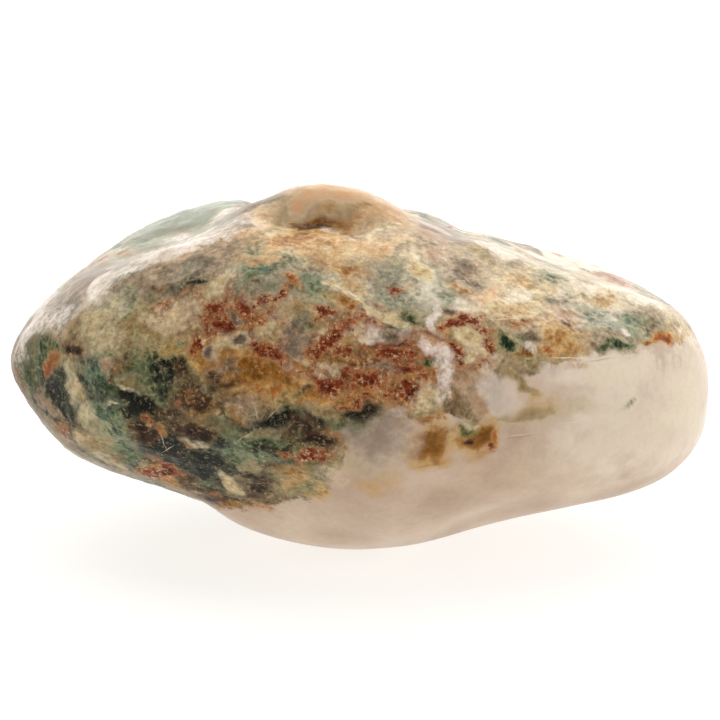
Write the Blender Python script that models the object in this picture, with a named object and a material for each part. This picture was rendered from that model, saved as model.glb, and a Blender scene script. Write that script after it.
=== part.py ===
"""A waterworn, polished jadeite pebble about 45 mm long, modelled as the one solid stone that it is.

The stone is drawn in its own leaning frame, the way it is seen from the front and a little above:
X runs to the right, W runs away from the front, and V runs up. The outline lies in the X-V plane.
The finished stone leans back about X, rests on a small worn flat, and is centred over the origin
with +Z up. Lengths are in metres; the lists of outline points and relief are in millimetres.
"""

import math
from typing import NamedTuple

import bmesh
import bpy
import numpy as np
from mathutils import Matrix, Vector, noise

MM = 0.001

# Overall sizes of the stone
HALF_LENGTH = 22.5 * MM
HALF_HEIGHT = 11.85 * MM
FRONT_BULGE = 13.6 * MM
BACK_BULGE = 14.4 * MM
LEAN_DEG = 18.0
FLAT_CUT = 0.42 * MM

# How full the stone is between its rim and its middle: 1 is an ellipse, less is boxier
RIM_FULLNESS = 0.90
BULGE_FULLNESS = 0.94

# Quads along each side of the ball that the stone is worn from
CUTS_X = 40
CUTS_W = 24
CUTS_V = 22

# The stone's outline in millimetres from its middle, as (x, v), clockwise from the right end
OUTLINE_MM = (
    (22.5, -2.4), (22.0, -4.9), (20.1, -7.1), (17.6, -8.2), (14.3, -9.0), (11.3, -9.7),
    (8.1, -10.4), (5.0, -11.25), (2.7, -11.7), (-0.5, -11.8), (-4.4, -11.3), (-7.3, -10.3),
    (-10.0, -8.8), (-14.7, -7.3), (-18.0, -5.9), (-19.8, -4.3), (-21.3, -2.2), (-22.2, 0.0),
    (-21.4, 2.4), (-18.8, 5.2), (-15.3, 8.0), (-11.1, 9.8), (-8.8, 10.6), (-7.3, 10.7),
    (-6.2, 10.3), (-4.7, 10.0), (-0.9, 9.9), (2.8, 9.7), (5.2, 9.2), (7.0, 8.6), (9.1, 8.4),
    (14.4, 6.7), (18.8, 5.0), (21.4, 2.9), (22.4, 0.2),
)
CURVE_STEPS = 12


class Facet(NamedTuple):
    """A worn flat: a soft plane at a depth under the surface, facing as the surface does there."""

    name: str
    side: str
    x: float
    second: float
    depth: float
    softness: float


class Swell(NamedTuple):
    """A raised or hollow place with an oval footprint, whose long axis is turned from X.

    Its second coordinate is V on the front or back, and W on the top or underside.
    """

    name: str
    side: str
    x: float
    second: float
    along: float
    across: float
    turn_deg: float
    height: float
    steepness: float = 1.0


# For each side of the stone: the axis of a feature's second coordinate, the axis that the side
# faces along, and which way. The axes are X 0, W 1 and V 2.
SIDES = {"front": (2, 1, -1), "back": (2, 1, 1), "top": (1, 2, 1), "under": (1, 2, -1)}

# Worn facets in millimetres. The ones on the back and below are guessed.
FACETS = (
    Facet("left_face", "front", -19.4, -0.8, 0.80, 0.12),
    Facet("upper_right_slope", "front", 13.6, 4.4, 0.70, 0.14),
    Facet("right_front_face", "front", 13.0, -4.2, 0.50, 0.20),
    Facet("middle_front_face", "front", -5.5, -1.0, 0.40, 0.20),
    Facet("lower_left_face", "front", -10.5, -6.6, 0.50, 0.16),
    Facet("back_left_face", "back", -13.5, 2.0, 1.30, 0.20),
    Facet("back_right_face", "back", 10.5, -1.5, 0.90, 0.20),
    Facet("back_top_slope", "back", 2.0, 7.0, 0.50, 0.20),
    Facet("back_lower_face", "back", -2.0, -8.6, 1.10, 0.30),
)

# Ridges, hollows and lumps in millimetres
SWELLS = (
    Swell("crest_lip", "top", -2.2, -3.5, 4.7, 2.6, 0.0, 1.85, 1.6),
    Swell("hollow_under_lip", "top", -2.0, -6.7, 3.2, 0.8, 0.0, -0.60),
    Swell("left_saddle", "top", -12.0, -3.4, 5.4, 4.2, 0.0, -1.50, 1.5),
    Swell("far_left_ridge", "top", -11.0, 5.2, 6.4, 2.4, -6.0, 0.90),
    Swell("left_ridge", "front", -14.6, 4.6, 5.6, 1.1, 36.0, 0.40),
    Swell("left_edge", "front", -15.2, -1.6, 4.8, 1.1, 98.0, 0.45),
    Swell("left_foot_groove", "front", -13.4, -6.2, 4.6, 0.9, -24.0, -0.30),
    Swell("eye_lens", "front", -6.0, 5.4, 2.6, 1.3, 16.0, 0.36),
    Swell("dished_oval", "front", 2.2, 4.9, 1.9, 1.5, 70.0, -0.30),
    Swell("ridge_behind_lip", "top", 3.6, 2.6, 2.8, 2.0, 0.0, 0.70, 1.3),
    Swell("right_saddle", "top", 13.5, -2.4, 6.8, 3.4, 0.0, -0.85, 1.5),
    Swell("far_right_ridge", "top", 14.0, 4.4, 6.0, 2.2, 0.0, 0.65),
    Swell("right_hollow", "front", 17.0, 2.8, 2.8, 1.3, -8.0, -0.36),
    Swell("ledge_over_cream", "front", 11.5, 0.9, 8.0, 1.2, 8.0, 0.34),
    Swell("front_belly", "front", 3.2, -3.0, 5.4, 4.2, 10.0, 0.45),
    Swell("underside_hollow", "front", 9.2, -9.6, 4.0, 1.4, 14.0, -0.30),
    Swell("back_ridge", "back", -3.5, 3.5, 6.5, 1.6, -30.0, 0.50),
    Swell("back_dent", "back", 6.5, 3.5, 3.2, 2.2, 20.0, -0.60),
    Swell("back_tip_dent", "back", -15.5, -2.5, 3.0, 1.8, 60.0, -0.45),
    Swell("back_foot_ridge", "back", 8.0, -7.0, 5.0, 1.5, 12.0, 0.35),
)

# Gentle unevenness all over, left by wear
WEAR_SIZES_MM = ((7.0, 0.16), (3.2, 0.07))

# Finish: the stone's mean colour and its polish
STONE_COLOUR = (0.42, 0.36, 0.27, 1.0)
STONE_ROUGHNESS = 0.3


def clear_scene():
    for leftover in list(bpy.data.objects):
        bpy.data.objects.remove(leftover, do_unlink=True)


def smooth_closed_curve(points, steps):
    """Points along a Catmull-Rom curve that passes through every given point and closes on itself."""
    control = np.array(points, float)
    before = np.roll(control, 1, axis=0)
    after = np.roll(control, -1, axis=0)
    beyond = np.roll(control, -2, axis=0)
    pieces = []
    for t in np.arange(steps) / steps:
        straight = after - before
        bend = 2 * before - 5 * control + 4 * after - beyond
        twist = 3 * (control - after) + beyond - before
        pieces.append(control + 0.5 * (straight * t + bend * t**2 + twist * t**3))
    return np.stack(pieces, axis=1).reshape(-1, 2)


def outline_share(angles):
    """How far the outline lies from the middle at each angle, as a share of the plain ellipse."""
    curve = smooth_closed_curve(OUTLINE_MM, CURVE_STEPS) * MM / (HALF_LENGTH, HALF_HEIGHT)
    curve_angles = np.arctan2(curve[:, 1], curve[:, 0])
    order = np.argsort(curve_angles)
    return np.interp(angles, curve_angles[order], np.hypot(*curve.T)[order], period=2 * math.pi)


def slice_cube(bm, axis, count):
    """Cuts a 2 m cube across one axis, so that its slices cover equal angles seen from the middle."""
    for step in range(1, count):
        angle = math.radians(90.0 * step / count - 45.0)
        cut_place = Vector((0.0, 0.0, 0.0))
        cut_place[axis] = math.tan(angle)
        cut_normal = Vector((0.0, 0.0, 0.0))
        cut_normal[axis] = 1.0
        everything = bm.verts[:] + bm.edges[:] + bm.faces[:]
        bmesh.ops.bisect_plane(bm, geom=everything, dist=1e-6, plane_co=cut_place, plane_no=cut_normal)


def quad_ball():
    """A ball of even quads, made from a sliced cube. Its axes are X, W and V."""
    bm = bmesh.new()
    bmesh.ops.create_cube(bm, size=2.0)
    for axis, count in enumerate((CUTS_X, CUTS_W, CUTS_V)):
        slice_cube(bm, axis, count)
    for vertex in bm.verts:
        vertex.co.normalize()
    return bm


def wear_to_outline(bm):
    """Gives the ball the stone's outline, and its bulge to the front and the back."""
    directions = np.array([vertex.co for vertex in bm.verts], float)
    rim = np.hypot(directions[:, 0], directions[:, 2])
    reach = outline_share(np.arctan2(directions[:, 2], directions[:, 0])) * rim**RIM_FULLNESS
    around = directions[:, [0, 2]] / np.maximum(rim, 1e-9)[:, None]
    bulge = np.where(directions[:, 1] < 0, FRONT_BULGE, BACK_BULGE)
    x = HALF_LENGTH * reach * around[:, 0]
    v = HALF_HEIGHT * reach * around[:, 1]
    w = bulge * np.sign(directions[:, 1]) * np.abs(directions[:, 1]) ** BULGE_FULLNESS
    for vertex, place in zip(bm.verts, np.stack([x, w, v], axis=1)):
        vertex.co = place
    bm.normal_update()


def surface_spot(points, normals, feature):
    """The point and the outward direction of the surface where a feature sits on its side of the stone."""
    second_axis, facing_axis, facing = SIDES[feature.side]
    offset = np.hypot(points[:, 0] - feature.x * MM, points[:, second_axis] - feature.second * MM)
    on_side = points[:, facing_axis] * facing > 0
    nearest = int(np.argmin(np.where(on_side, offset, np.inf)))
    return points[nearest], normals[nearest]


def facet_push(points, normals, facet):
    """How far each point moves in, so that what stands above the facet's plane comes down to it."""
    spot, outward = surface_spot(points, normals, facet)
    above = (points - spot) @ outward + facet.depth * MM
    softness = facet.softness * MM
    drop = softness * np.logaddexp(0.0, above / softness)
    return -drop[:, None] * outward


def swell_push(points, normals, swell):
    """How far each point moves out for a lump or ridge, or in for a hollow."""
    spot, outward = surface_spot(points, normals, swell)
    turn = math.radians(swell.turn_deg)
    along = np.array((math.cos(turn), 0.0, 0.0))
    along[SIDES[swell.side][0]] = math.sin(turn)
    along -= outward * (along @ outward)
    along /= np.linalg.norm(along)
    across = np.cross(outward, along)
    away = points - spot
    spread = (away @ along / (swell.along * MM)) ** 2
    spread += (away @ across / (swell.across * MM)) ** 2
    spread += (away @ outward / (swell.along * MM)) ** 2
    return swell.height * MM * np.exp(-(spread**swell.steepness))[:, None] * normals


def wear_push(points, normals):
    """Gentle unevenness, a few tenths of a millimetre deep at most."""
    height = np.zeros(len(points))
    for size, depth in WEAR_SIZES_MM:
        height += [depth * MM * noise.noise(Vector(point) / (size * MM)) for point in points]
    return height[:, None] * normals


def carve_relief(bm):
    """Lays the facets, then the swells and the wear, on the smooth stone."""
    for push, features in ((facet_push, FACETS), (swell_push, SWELLS)):
        points = np.array([vertex.co for vertex in bm.verts], float)
        normals = np.array([vertex.normal for vertex in bm.verts], float)
        moved = points + sum(push(points, normals, feature) for feature in features)
        if push is swell_push:
            moved += wear_push(points, normals)
        for vertex, place in zip(bm.verts, moved):
            vertex.co = place
        bm.normal_update()


def seat_on_flat(bm):
    """Leans the stone back, cuts the small flat that it rests on, and centres it over the origin."""
    bmesh.ops.rotate(bm, verts=bm.verts[:], matrix=Matrix.Rotation(math.radians(-LEAN_DEG), 3, "X"))
    lowest = min(vertex.co.z for vertex in bm.verts)
    bmesh.ops.translate(bm, verts=bm.verts[:], vec=(0.0, 0.0, -lowest - FLAT_CUT))
    everything = bm.verts[:] + bm.edges[:] + bm.faces[:]
    cut = bmesh.ops.bisect_plane(
        bm, geom=everything, dist=0.02 * MM, plane_co=(0, 0, 0), plane_no=(0, 0, 1), clear_inner=True
    )
    flat_edges = [item for item in cut["geom_cut"] if isinstance(item, bmesh.types.BMEdge)]
    bmesh.ops.edgeloop_fill(bm, edges=flat_edges)
    for item in cut["geom_cut"]:
        if isinstance(item, bmesh.types.BMVert):
            item.co.z = 0.0
    for axis in (0, 1):
        places = [vertex.co[axis] for vertex in bm.verts]
        shift = Vector((0.0, 0.0, 0.0))
        shift[axis] = -(min(places) + max(places)) / 2
        bmesh.ops.translate(bm, verts=bm.verts[:], vec=shift)
    bmesh.ops.recalc_face_normals(bm, faces=bm.faces[:])


def jadeite():
    """Polished stone in its mean colour."""
    material = bpy.data.materials.new("polished_jadeite")
    material.use_nodes = True
    shader = material.node_tree.nodes["Principled BSDF"]
    shader.inputs["Base Color"].default_value = STONE_COLOUR
    shader.inputs["Roughness"].default_value = STONE_ROUGHNESS
    shader.inputs["Metallic"].default_value = 0.0
    return material


def make_pebble():
    bm = quad_ball()
    wear_to_outline(bm)
    carve_relief(bm)
    seat_on_flat(bm)
    mesh = bpy.data.meshes.new("pebble")
    bm.to_mesh(mesh)
    bm.free()
    mesh.shade_smooth()
    mesh.materials.append(jadeite())
    pebble = bpy.data.objects.new("pebble", mesh)
    bpy.context.scene.collection.objects.link(pebble)
    return pebble


clear_scene()
make_pebble()
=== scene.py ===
# %% [markdown]
# # A polished jadeite pebble
# The pebble is one natural stone, waterworn and then polished. A weathered rind of green, rust,
# ochre and grey grains caps a smooth cream core, which shows low on the right. The lesson starts
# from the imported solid, gives it a finer skin, lays out where each mineral lies, and lets nodes
# break those patches up into grains.

# %% Load the frame
import math
from typing import NamedTuple

import bpy
import numpy as np
from mathutils import Matrix, Vector, noise


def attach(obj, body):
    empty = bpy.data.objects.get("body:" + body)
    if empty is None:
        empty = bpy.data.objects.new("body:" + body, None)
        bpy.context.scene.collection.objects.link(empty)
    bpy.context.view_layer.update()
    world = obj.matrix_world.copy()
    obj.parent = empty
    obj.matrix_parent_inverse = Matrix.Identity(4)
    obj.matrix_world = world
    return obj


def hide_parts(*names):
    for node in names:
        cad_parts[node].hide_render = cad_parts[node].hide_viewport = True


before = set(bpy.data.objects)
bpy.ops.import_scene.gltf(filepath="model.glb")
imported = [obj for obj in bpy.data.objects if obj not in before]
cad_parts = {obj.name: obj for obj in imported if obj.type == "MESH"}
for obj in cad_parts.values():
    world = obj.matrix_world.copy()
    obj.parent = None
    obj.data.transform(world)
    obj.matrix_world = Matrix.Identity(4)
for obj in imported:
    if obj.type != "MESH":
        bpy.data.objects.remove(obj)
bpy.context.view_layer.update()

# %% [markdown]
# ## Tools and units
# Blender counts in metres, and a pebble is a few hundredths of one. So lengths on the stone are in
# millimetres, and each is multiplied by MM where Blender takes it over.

MM = 0.001

# %% [markdown]
# ## The camera
# A small stone is photographed from close by with a long lens, looking down at it a little. Three
# directions describe that view: right, up the picture, and away from the camera. They are kept,
# because the markings are placed by where they show in the photograph.

# %% Camera
LOOKING_DOWN = math.radians(18.0)
CAMERA_DISTANCE = 300 * MM
VIEW_WIDTH = 46.2 * MM
PHOTO_WIDTH_PX = 720
SENSOR_WIDTH_MM = 36.0
VIEW_CENTRE = np.array((0.1, 0.0, 11.9)) * MM

RIGHT = np.array((1.0, 0.0, 0.0))
UP = np.array((0.0, math.sin(LOOKING_DOWN), math.cos(LOOKING_DOWN)))
AWAY = np.array((0.0, math.cos(LOOKING_DOWN), -math.sin(LOOKING_DOWN)))
EYE = VIEW_CENTRE - CAMERA_DISTANCE * AWAY

bpy.ops.object.camera_add(location=EYE, rotation=(math.radians(90) - LOOKING_DOWN, 0.0, 0.0))
camera = bpy.context.object
camera.name = "camera"
camera.data.sensor_width = SENSOR_WIDTH_MM
camera.data.lens = SENSOR_WIDTH_MM * CAMERA_DISTANCE / VIEW_WIDTH
bpy.context.scene.camera = camera
print("lens, mm:", round(camera.data.lens, 1))

# %% [markdown]
# ## A finer skin for the stone
# The imported solid has about nine thousand triangles, which is too coarse for pits and grain. A copy
# of it is merged, its triangles are joined into quads, and two levels of subdivision are applied.
# The copy replaces the solid in the picture, and the solid stays, hidden.

# %% Copy, merge and subdivide
TOUCHING = 0.005 * MM
SKIN_LEVELS = 2

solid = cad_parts["pebble"]
bpy.ops.object.select_all(action="DESELECT")
solid.select_set(True)
bpy.context.view_layer.objects.active = solid
bpy.ops.object.duplicate()
stone = bpy.context.object
stone.name = "polished_pebble"
stone.parent = None

bpy.ops.object.mode_set(mode="EDIT")
bpy.ops.mesh.select_all(action="SELECT")
bpy.ops.mesh.remove_doubles(threshold=TOUCHING)
bpy.ops.mesh.tris_convert_to_quads(face_threshold=math.radians(60), shape_threshold=math.radians(70))
bpy.ops.object.mode_set(mode="OBJECT")

skin = stone.modifiers.new("skin", "SUBSURF")
skin.levels = SKIN_LEVELS
skin.render_levels = SKIN_LEVELS
bpy.ops.object.modifier_apply(modifier="skin")
bpy.ops.object.shade_smooth()
points = np.array([vertex.co for vertex in stone.data.vertices])
print("faces in the skin:", len(stone.data.polygons), "points:", len(points))

# %% [markdown]
# ## Finding a place on the stone
# A marking is read off the photograph as a pixel. A ray from the camera through that pixel meets the
# stone at the real place. For the unseen side the same ray is followed from behind.

# %% Spots on the surface
SIDES = {"front": 1.0, "back": -1.0}


def spot(px, py, side="front"):
    """The place on the stone that shows at a pixel, on its front or right behind that."""
    step = VIEW_WIDTH / PHOTO_WIDTH_PX
    centre_px = PHOTO_WIDTH_PX / 2
    middle = VIEW_CENTRE + RIGHT * (px - centre_px) * step + UP * (centre_px - py) * step
    heading = (middle - EYE) / np.linalg.norm(middle - EYE) * SIDES[side]
    start = middle - heading * CAMERA_DISTANCE / 2
    hit, place, _, _ = stone.ray_cast(Vector(start), Vector(heading))
    if not hit:
        print("no stone at pixel", px, py, "so the nearest place is taken")
        hit, place, _, _ = stone.closest_point_on_mesh(Vector(middle))
    return np.array(place)


print("middle of the front, mm:", (spot(360, 360) / MM).round(1))

# %% [markdown]
# ## Where each mineral lies
# Jadeite rock is a felt of crystals. Iron and water have stained them from the outside in, so the
# colours come in patches. A picture wrapped round the stone could carry them, but it would smear
# where the stone turns away. So the patches are ovals, placed one by one and laid on the skin itself.
# Each has six numbers: the pixel where its middle shows, across and down, half its length and half
# its width in millimetres, its turn in degrees anticlockwise, and its share of the ground.
#
# The broad ground comes first: tan and gold above, rust in the middle, green and near black below. Not
# every oval is a mineral: some paint highlights, sheen or shade into the colour, as the tables say.

# %% Ground
GROUND = {
    "khaki": [
        (130, 330, 5, 2.6, -8, 0.85), (185, 352, 3, 1.2, 0, 0.6), (270, 310, 5, 2.2, 0, 0.55),
        (500, 300, 8.5, 2.8, -8, 0.7),
    ],
    "gold": [(330, 246, 5.6, 1.7, 0, 0.4), (530, 292, 7.5, 2, -8, 0.55), (676, 328, 1.8, 1.2, -30, 0.7)],
    "ochre": [(255, 372, 5, 1.9, -6, 0.85), (300, 242, 5, 1.4, 0, 0.7), (560, 342, 2.6, 1.2, 0, 0.5)],
    "olive": [(350, 392, 4.6, 1.8, 0, 0.6)],
    # the mauve ground oval at (340, 212) is painted shade in the groove under the dome
    "mauve": [
        (175, 268, 5.2, 1.3, 12, 0.55), (255, 285, 5, 1.8, 12, 0.75), (340, 212, 2.6, 0.9, 0, 0.3),
        (455, 280, 3.2, 2.2, 0, 0.6), (595, 328, 4.6, 1.6, -5, 0.45),
    ],
    "sage": [
        (172, 216, 4.6, 1.4, 25, 0.9), (262, 276, 3, 1.4, 12, 0.6), (315, 288, 1.8, 1.2, -20, 0.6),
        (390, 292, 2.8, 2.4, 0, 0.7), (625, 330, 3, 1, 0, 0.7),
    ],
    "teal": [
        (102, 408, 2.6, 1.6, -50, 0.85), (125, 440, 3, 1.2, -38, 0.55), (180, 215, 4.2, 0.9, 25, 0.5),
        (238, 450, 3.6, 1, -5, 0.55),
    ],
    "green": [(42, 370, 2, 1.2, -75, 0.8), (150, 382, 3.6, 2, -12, 0.85), (262, 454, 5.4, 2.2, -3, 0.9)],
    "dark": [
        (52, 390, 2.6, 1.4, -62, 1), (106, 384, 1.4, 1, -50, 0.75), (140, 412, 4.4, 1.9, -20, 1),
        (160, 374, 2.4, 1.2, -12, 0.3), (185, 452, 4.6, 2.5, -15, 1), (224, 446, 3, 1.4, 0, 0.8),
        (255, 460, 4.6, 1.6, -3, 0.75), (290, 424, 3.6, 1.2, 0, 0.9),
    ],
    "brown": [
        (76, 350, 1.8, 0.9, 0, 0.6), (165, 425, 2.8, 1.6, -20, 0.8), (205, 393, 3.4, 1.4, -5, 0.65),
        (226, 414, 1.8, 1, 0, 0.9), (310, 438, 3.8, 1.6, 0, 0.8),
    ],
    "rust": [(160, 455, 3, 1.2, -30, 0.45), (226, 322, 3.8, 2.1, 8, 0.95), (352, 360, 6.4, 2.9, 0, 1)],
}


def tell(title, table):
    """Says how many ovals a table holds."""
    print(title + ":", sum(len(ovals) for ovals in table.values()), "ovals of", len(table), "minerals")


tell("ground", GROUND)

# %% [markdown]
# The left tip is pale and lilac: painted sheen along its rim, and a painted highlight on its ridge. Below
# it, green and dark grains follow the outline in thin streaks, with cream and rust between them.

# %% Left tip
LEFT_TIP = {
    # painted highlight on the ridge at the top of the tip
    "pale": [(95, 285, 1.5, 0.45, 50, 0.8)],
    "khaki": [(85, 422, 1, 0.6, -80, 0.6), (97, 446, 1.4, 0.5, -28, 0.75)],
    "peach": [(78, 438, 0.8, 0.3, -25, 0.5)],
    "ochre": [(62, 332, 0.7, 0.35, 10, 0.5), (77, 386, 0.9, 0.3, -65, 0.55)],
    "mauve": [(68, 308, 1.7, 1, 60, 0.9)],
    "smoke": [(46, 406, 1.4, 0.5, -60, 0.75)],
    "teal": [(94, 368, 0.9, 0.42, 90, 0.95), (96, 460, 1.6, 0.2, -24, 0.5)],
    "green": [(33, 372, 1.3, 0.6, -80, 0.8), (42, 348, 1.1, 0.7, 50, 0.8), (58, 396, 0.8, 0.4, -60, 0.8)],
    "dark": [
        (32, 366, 1, 0.5, -80, 0.5), (54, 385, 1, 0.6, -60, 0.85), (63, 414, 1.1, 0.35, -75, 0.85),
        (84, 362, 0.8, 0.5, -20, 0.7), (84, 453, 1.2, 0.2, -28, 0.8),
    ],
    "brown": [(73, 350, 1, 0.45, -10, 0.95), (74, 336, 0.6, 0.5, 0, 0.55)],
    "rust": [(62, 434, 0.67, 0.44, -60, 0.61)],
    "orange": [(51, 361, 0.9, 0.36, 62, 0.8), (53, 424, 0.7, 0.25, -60, 0.5)],
    # lilac ovals along the rim of the tip: painted sheen
    "lilac": [
        (21, 348, 1, 0.3, 80, 0.6), (30, 322, 1.5, 0.5, 62, 0.75), (47, 298, 1.3, 0.5, 60, 0.65),
        (50, 318, 1.2, 0.7, 55, 0.6),
    ],
    "cream": [
        (73, 380, 1.4, 0.45, -68, 0.6), (84, 410, 1, 0.45, -85, 0.45), (112, 463, 1.5, 0.4, -22, 0.45),
    ],
}
tell("left tip", LEFT_TIP)

# %% [markdown]
# The left face is cream and tan at the top. Lower down, brown and rusty grains sit in green and near
# black ones. Its more than seventy small ovals make it one of the busiest parts of the stone.

# %% Left face
LEFT_FACE = {
    "pale": [(122, 309, 0.25, 0.2, 0, 0.7)],
    "khaki": [
        (112, 330, 2.3, 1.6, -10, 0.85), (132, 383, 1.2, 0.6, -20, 0.75), (150, 330, 1.2, 0.9, 0, 0.7),
        (150, 478, 0.9, 0.3, -30, 0.3), (172, 345, 1.6, 0.6, 0, 0.6),
    ],
    "ochre": [(178, 353, 1.5, 0.5, -5, 0.7)],
    "mauve": [(118, 285, 1.1, 0.5, 10, 0.7), (178, 410, 0.9, 0.4, 0, 0.6)],
    "sage": [(120, 300, 0.9, 0.6, 0, 0.65), (128, 300, 1, 0.7, 60, 0.8)],
    "smoke": [(103, 366, 0.7, 0.3, 90, 0.7)],
    "teal": [
        (100, 353, 0.9, 0.4, 0, 0.5), (106, 410, 1, 0.5, -15, 1), (112, 430, 1.3, 0.7, -50, 0.7),
        (132, 466, 1.4, 0.28, -32, 0.9), (156, 485, 1.5, 0.25, -28, 0.9), (205, 484, 0.7, 0.25, 0, 0.55),
    ],
    "green": [
        (100, 408, 0.5, 0.5, 0, 0.6), (106, 387, 0.9, 0.6, -50, 0.9), (112, 430, 1.3, 0.8, -50, 0.65),
        (124, 317, 0.5, 0.15, 20, 0.7), (124, 447, 0.9, 0.5, -30, 0.85), (130, 352, 1.4, 0.3, 0, 0.4),
        (156, 366, 1.2, 0.8, 0, 0.8), (160, 390, 1, 0.8, 0, 0.9), (172, 492, 1.2, 0.15, -22, 0.6),
        (180, 344, 0.6, 0.3, 0, 0.5),
    ],
    "dark": [
        (110, 394, 0.8, 0.4, -30, 0.6), (124, 412, 1, 0.6, -30, 0.75), (144, 404, 1.9, 0.8, -12, 1),
        (146, 434, 0.9, 0.5, 0, 0.9), (147, 448, 1.1, 0.8, -40, 1), (150, 296, 0.5, 0.5, 0, 0.65),
        (158, 384, 1.2, 0.6, -10, 0.6), (166, 368, 1.3, 0.7, -15, 0.95), (176, 446, 1.3, 0.9, 80, 0.95),
        (178, 286, 1.5, 0.3, 12, 0.7), (182, 463, 0.9, 0.5, 90, 0.9), (199, 468, 1.4, 0.8, -10, 1),
    ],
    "brown": [
        (109, 380, 0.4, 0.3, 0, 0.65), (121, 362, 0.8, 0.5, 10, 0.7), (138, 427, 1.1, 0.5, 0, 0.95),
        (158, 290, 0.5, 0.3, 0, 0.6), (166, 471, 0.5, 0.4, -30, 0.7), (172, 413, 1.1, 0.5, 0, 0.75),
        (176, 426, 0.9, 0.6, 0, 0.8), (183, 294, 0.8, 0.3, 20, 0.55), (184, 372, 0.5, 0.4, 90, 0.8),
        (184, 478, 0.7, 0.4, -20, 0.8), (196, 431, 1, 0.5, -10, 0.9), (203, 492, 1.4, 0.18, -10, 0.85),
    ],
    "rust": [
        (117, 367, 0.39, 0.38, 0, 0.48), (148, 420, 0.56, 0.38, -20, 0.72),
        (153, 324, 0.56, 0.25, 40, 0.4), (160, 312, 0.8, 0.35, 60, 0.45), (163, 468, 1.01, 1, -40, 0.8),
        (166, 308, 1.12, 0.35, 30, 0.64), (167, 472, 1.34, 0.88, -30, 0.8),
        (168, 473, 1.1, 0.6, -30, 0.9), (189, 448, 0.56, 0.31, 90, 0.53),
    ],
    "orange": [
        (158, 467, 0.5, 0.4, -30, 0.45), (160, 431, 0.5, 0.22, -55, 0.8), (172, 482, 0.9, 0.25, -25, 0.4),
    ],
    # the lilac oval is a painted highlight on the ridge at the top left
    "lilac": [(98, 279, 1, 0.28, 52, 0.8)],
    "cream": [
        (100, 316, 1.6, 0.8, 40, 0.6), (107, 427, 0.8, 0.25, -60, 0.4), (108, 343, 1.3, 0.7, 0, 0.5),
        (113, 403, 0.7, 0.12, -25, 0.85), (122, 388, 0.8, 0.2, -30, 0.6), (145, 466, 0.8, 0.25, -30, 0.3),
        (178, 320, 1.6, 1, 0, 0.6), (200, 447, 0.6, 0.5, -30, 0.65),
    ],
}
tell("left face", LEFT_FACE)

# %% [markdown]
# Below the middle, a band of ochre turns to brown, and the brown to green and dark grains along the
# edge of the core. Thin streaks of ochre and brown lie right at that edge.

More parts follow.
